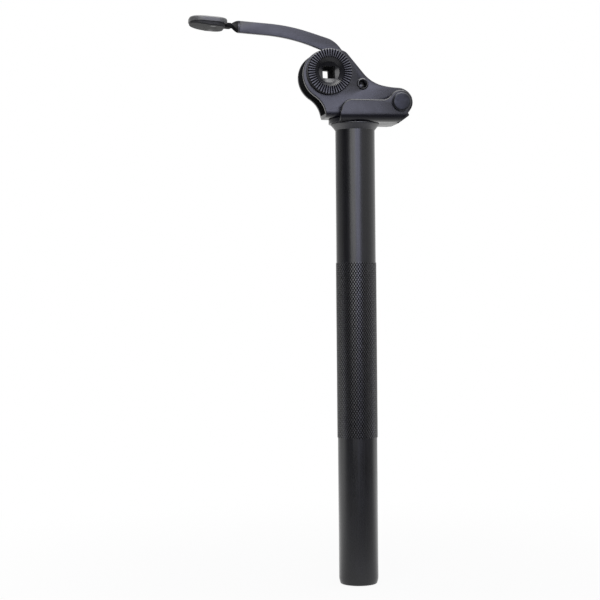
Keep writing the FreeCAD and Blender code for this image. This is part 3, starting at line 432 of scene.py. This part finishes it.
def turned(name, profile, sides=160):
    """Turns a closed profile of (radius, height) about the post's axis.

    A ring is drawn out from point to point and joined back to its first edge."""
    first = profile[0]
    bpy.ops.mesh.primitive_circle_add(
        vertices=sides, radius=first[0], fill_type="NOTHING", location=(0, 0, first[1]),
        enter_editmode=True)
    piece = bpy.context.active_object
    piece.name = name
    piece.data.name = name
    before = first
    for point in profile[1:] + [first]:
        bpy.ops.mesh.extrude_region_move(
            TRANSFORM_OT_translate={"value": (0, 0, point[1] - before[1])})
        ratio = point[0] / before[0]
        bpy.ops.transform.resize(
            value=(ratio, ratio, 1), center_override=(0, 0, point[1]))
        before = point
    bpy.ops.mesh.select_all(action="SELECT")
    bpy.ops.mesh.remove_doubles(threshold=MERGE)
    bpy.ops.mesh.normals_make_consistent(inside=False)
    bpy.ops.object.mode_set(mode="OBJECT")
    only(piece)
    bpy.ops.object.transform_apply(location=True, rotation=True, scale=True)
    bpy.ops.object.shade_smooth_by_angle(angle=TUBE_SMOOTH_ANGLE)
    return piece


def make_tube():
    """Post tube: its foot is chamfered inside and has a long rounded bevel outside."""
    tube = turned("post_tube_drawn", [
        (BORE_RADIUS, FOOT + 0.3 * MM),
        (BORE_RADIUS + 0.3 * MM, FOOT),
        (POST_RADIUS - 1.1 * MM, FOOT),
        (POST_RADIUS - 0.9 * MM, FOOT + 0.15 * MM),
        (POST_RADIUS - 0.35 * MM, FOOT + FOOT_BEVEL * 0.6),
        (POST_RADIUS - 0.08 * MM, FOOT + FOOT_BEVEL),
        (POST_RADIUS, FOOT + FOOT_BEVEL * 1.4),
        (POST_RADIUS, 0.0),
        (POST_RADIUS, KNURL_TOP),
        (POST_RADIUS, SEAT),
        (BORE_RADIUS, SEAT),
    ])
    settle(tube, "post", "post_black", TUBE_BLACK, "post_tube")


def repeat(piece, name, count):
    """An array of this many copies, whose offset is still to be set."""
    array = piece.modifiers.new(name, "ARRAY")
    array.count = count
    array.use_relative_offset = False
    return array


def make_knurl():
    """Knurl: one truncated diamond, copied round the tube and then up the band.

    A second set, half a column and half a row on, fills the places between."""
    half_turn = math.radians(180 / KNURL_COLUMNS)
    half_width = KNURL_GROOVE * math.sin(half_turn)
    depth = KNURL_GROOVE * math.cos(half_turn)
    rows = math.ceil(KNURL_TOP / KNURL_PITCH) + 1
    upright = Matrix(((0, 0, 1), (1, 0, 0), (0, 1, 0))).to_4x4()
    step = bpy.data.objects.new("knurl_step", None)
    bpy.context.scene.collection.objects.link(step)
    step.rotation_euler = (0, 0, math.radians(360 / KNURL_COLUMNS))
    halves = []
    for shift in (0, 1):
        bpy.ops.mesh.primitive_circle_add(
            vertices=4, radius=1.0, fill_type="NGON", location=(0, 0, 0), enter_editmode=True)
        diamond = bpy.context.active_object
        bpy.ops.transform.resize(
            value=(half_width, KNURL_PITCH / 2, 1), center_override=(0, 0, 0))
        bpy.ops.mesh.inset(thickness=CREST_INSET, depth=CREST_HEIGHT)
        bpy.ops.object.mode_set(mode="OBJECT")
        height = KNURL_PITCH / 2 * shift - KNURL_PITCH / 2
        place = Matrix.Rotation(half_turn * shift, 4, "Z")
        diamond.data.transform(place @ Matrix.Translation((depth, 0, height)) @ upright)
        around = repeat(diamond, "round the tube", KNURL_COLUMNS)
        around.use_object_offset = True
        around.offset_object = step
        up = repeat(diamond, "up the band", rows)
        up.use_constant_offset = True
        up.constant_offset_displace = (0, 0, KNURL_PITCH)
        apply_all(diamond)
        halves.append(diamond)
    bpy.data.objects.remove(step)
    only(halves[0])
    halves[1].select_set(True)
    bpy.ops.object.join()
    band = bpy.context.active_object
    band.name = "knurled_band"
    band.data.name = "knurled_band"
    bpy.ops.object.mode_set(mode="EDIT")
    bpy.ops.mesh.select_all(action="SELECT")
    bpy.ops.mesh.remove_doubles(threshold=KNURL_MERGE)
    for height, below in ((0.0, True), (KNURL_TOP, False)):
        bpy.ops.mesh.select_all(action="SELECT")
        bpy.ops.mesh.bisect(
            plane_co=(0, 0, height), plane_no=(0, 0, 1), clear_inner=below, clear_outer=not below)
        bpy.ops.mesh.extrude_region_move()
        bpy.ops.transform.resize(
            value=(BAND_END_SHRINK, BAND_END_SHRINK, 1), center_override=(0, 0, height))
    bpy.ops.mesh.select_all(action="SELECT")
    bpy.ops.mesh.normals_make_consistent(inside=False)
    bpy.ops.object.mode_set(mode="OBJECT")
    settle(band, "post", "post_black", KNURL_BLACK)


make_tube()
make_knurl()
softened("neck_collar", "neck_collar_welded", 0.3, "post", "post_black", COLLAR_BLACK)
softened("base_bracket", "base_bracket_pressed", 1.2, "post", "bracket_black", BRACKET_BLACK,
         above=BASE_RIM)
softened("pivot_bolt", "pivot_bolt_low_head", 0.35, "post", "bolt_steel", BOLT_BLACK)
softened("pivot_nut", "pivot_nut_chamfered", 0.4, "post", "bolt_steel", BOLT_BLACK)
softened("pivot_washer", "pivot_washer_deburred", 0.2, "post", "bolt_steel", BOLT_BLACK)
softened("saddle_bracket", "saddle_bracket_pressed", 0.6, "head", "bracket_black", HEAD_BLACK)
softened("lever_plate", "lever_bar_tumbled", 0.35, "lever", "lever_black", LEVER_BLACK)
softened("lever_rivet", "lever_rivet_rolled", 0.25, "head", "bracket_black", DISC_BLACK)
softened("grip_top_half", "grip_top_moulded", 0.3, "lever", "grip_plastic", GRIP_TOP_NYLON)
softened("grip_bottom_half", "grip_bottom_moulded", 0.25, "lever", "grip_plastic",
         GRIP_BOTTOM_SHADED_NYLON)
for node in ("serrated_disc_near", "serrated_disc_far"):
    dress(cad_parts[node], DISC_BLACK)
for node in ("pivot_bush_near", "pivot_bush_far", "lever_spacer_near", "lever_spacer_far"):
    dress(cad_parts[node], BUSH_NYLON)
for node in ("pivot_sleeve", "grip_screws"):
    dress(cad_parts[node], BOLT_BLACK)
make_spring()


def make_floor():
    """Floor: a table, pale to the camera. Distances from the post are in metres.

    The camera sees it nearly white, with the object's soft shadow near the post. Its grey is
    painted darker in front of the post than behind it. To reflections alone it glows white behind
    the post, brightest close behind. These are painted reflections in the black coating."""
    bpy.ops.mesh.primitive_plane_add(size=14.0, location=(0, 0, FOOT - 0.5 * MM))
    floor = bpy.context.active_object
    floor.name = "floor"
    material = bpy.data.materials.new("matt_white_floor")
    material.use_nodes = True
    tree = material.node_tree
    tree.nodes.clear()
    place = add_node(tree, "ShaderNodeTexCoord", {}).outputs["Object"]
    depth = axes_of(tree, place)["Y"]
    away = add_node(tree, "ShaderNodeVectorMath", {0: place}, operation="LENGTH")

    def smooth(value, source, target=(0.0, 1.0)):
        return ranged(tree, value, source, target, interpolation_type="SMOOTHSTEP")

    def glowing(strength):
        return add_node(tree, "ShaderNodeEmission", {
            "Color": (1, 1, 1, 1), "Strength": strength}).outputs[0]

    # Painted reflection: the grey is darker in front of the post, so the black coating mirrors it
    # dim there
    grey = mixed(tree, smooth(depth, (-0.4, -0.05)), colour("#303030"), colour("#9a9a9a"))
    chalk = add_node(tree, "ShaderNodeBsdfDiffuse", {"Color": grey}).outputs[0]
    whiteness = smooth(away.outputs["Value"], (0.06, 0.45), (0.93, 1.0))
    seen = either(tree, whiteness, chalk, glowing(1.0))
    # Painted reflection: to reflections alone the floor glows white behind the post, brightest
    # close behind
    pool = ranged(tree, depth, (0.25, 0.6), (1.5, 1.0))
    mirrored = either(tree, smooth(depth, (-0.12, 0.12)), chalk, glowing(pool))
    path = add_node(tree, "ShaderNodeLightPath", {}).outputs
    sharp = calculate(tree, "MAXIMUM", path["Is Glossy Ray"], path["Is Transmission Ray"])
    others = either(tree, sharp, chalk, mirrored)
    add_node(tree, "ShaderNodeOutputMaterial", {
        "Surface": either(tree, path["Is Camera Ray"], others, seen)})
    dress(floor, material)


make_floor()

# Brightness of the room's walls at each bearing in degrees from +Y, clockwise. The camera stands
# at -166 degrees. A white sweep is behind the post, a pale wall on the right and a dim corner at
# the front left.
WALLS = (
    (-180, 0.9), (-166, 0.9), (-135, 0.35), (-120, 0.06), (-92, 0.08), (-72, 0.4), (-40, 0.62),
    (0, 1.0), (45, 1.0), (85, 1.0), (130, 0.85), (160, 0.85), (180, 0.9))


def make_room():
    """Room: white to the camera, and walls of uneven brightness to all else."""
    world = bpy.data.worlds.new("studio")
    bpy.context.scene.world = world
    world.use_nodes = True
    tree = world.node_tree
    tree.nodes.clear()
    way = axes_of(tree, add_node(tree, "ShaderNodeTexCoord", {}).outputs["Generated"])
    bearing = calculate(tree, "ARCTAN2", way["X"], way["Y"])
    degrees = calculate(tree, "MULTIPLY", bearing, 180 / math.pi)
    tones = add_node(tree, "ShaderNodeValToRGB", {0: ranged(tree, degrees, (-180, 180))})
    ramp = tones.color_ramp
    ramp.interpolation = "EASE"
    for number, (angle, level) in enumerate(WALLS):
        position = (angle + 180) / 360
        # A new ramp already has two spots
        spot = ramp.elements[number] if number < 2 else ramp.elements.new(position)
        spot.position = position
        spot.color = (level, level, level, 1)

    def backdrop(tint):
        return add_node(tree, "ShaderNodeBackground", {"Color": tint, "Strength": 1.0}).outputs[0]

    ray = add_node(tree, "ShaderNodeLightPath", {}).outputs["Is Camera Ray"]
    add_node(tree, "ShaderNodeOutputWorld", {
        "Surface": either(tree, ray, backdrop(tones.outputs["Color"]), backdrop((1, 1, 1, 1)))})


make_room()


def softbox(name, place, target, width, height, power, tint):
    """A rectangular light that faces its target, in metres and watts."""
    light = bpy.data.lights.new(name, "AREA")
    light.shape = "RECTANGLE"
    light.size = width
    light.size_y = height
    light.energy = power
    light.color = colour(tint)[:3]
    lamp = bpy.data.objects.new(name, light)
    bpy.context.scene.collection.objects.link(lamp)
    lamp.location = place
    lamp.rotation_euler = (Vector(target) - Vector(place)).to_track_quat("-Z", "Y").to_euler()


softbox("front_softbox", place=(-0.78, -1.28, 0.72), target=(-0.78, 0, 0.72),
        width=0.94, height=1.3, power=10.0, tint="#ffffff")
softbox("window_softbox", place=(0.01, -1.28, 0.72), target=(0.01, 0, 0.72),
        width=0.64, height=1.3, power=8.6, tint="#dadcff")
softbox("overhead_softbox", place=(0.0, -0.2, 1.35), target=(0, -0.2, 0.1),
        width=1.4, height=1.1, power=26.0, tint="#ffffff")

# The photograph's view: the lens and its sensor in mm, the place in metres, the turns in degrees
LENS = 85.5
SENSOR = 36.0
CAMERA_PLACE = (-0.234944, -0.958957, 0.095210)
CAMERA_TURN = -11.5
CAMERA_ROLL = -0.5


def make_camera():
    """Camera: looks level, turned to the right of +Y and rolled a little."""
    camera = bpy.data.cameras.new("camera")
    camera.lens = LENS
    camera.sensor_width = SENSOR
    eye = bpy.data.objects.new("camera", camera)
    bpy.context.scene.collection.objects.link(eye)
    turn = Matrix.Rotation(math.radians(CAMERA_TURN), 4, "Z")
    level = Matrix.Rotation(math.radians(90), 4, "X")
    roll = Matrix.Rotation(math.radians(CAMERA_ROLL), 4, "Z")
    eye.matrix_world = Matrix.Translation(CAMERA_PLACE) @ turn @ level @ roll
    bpy.context.scene.camera = eye


make_camera()
bpy.context.scene.view_settings.view_transform = "Standard"
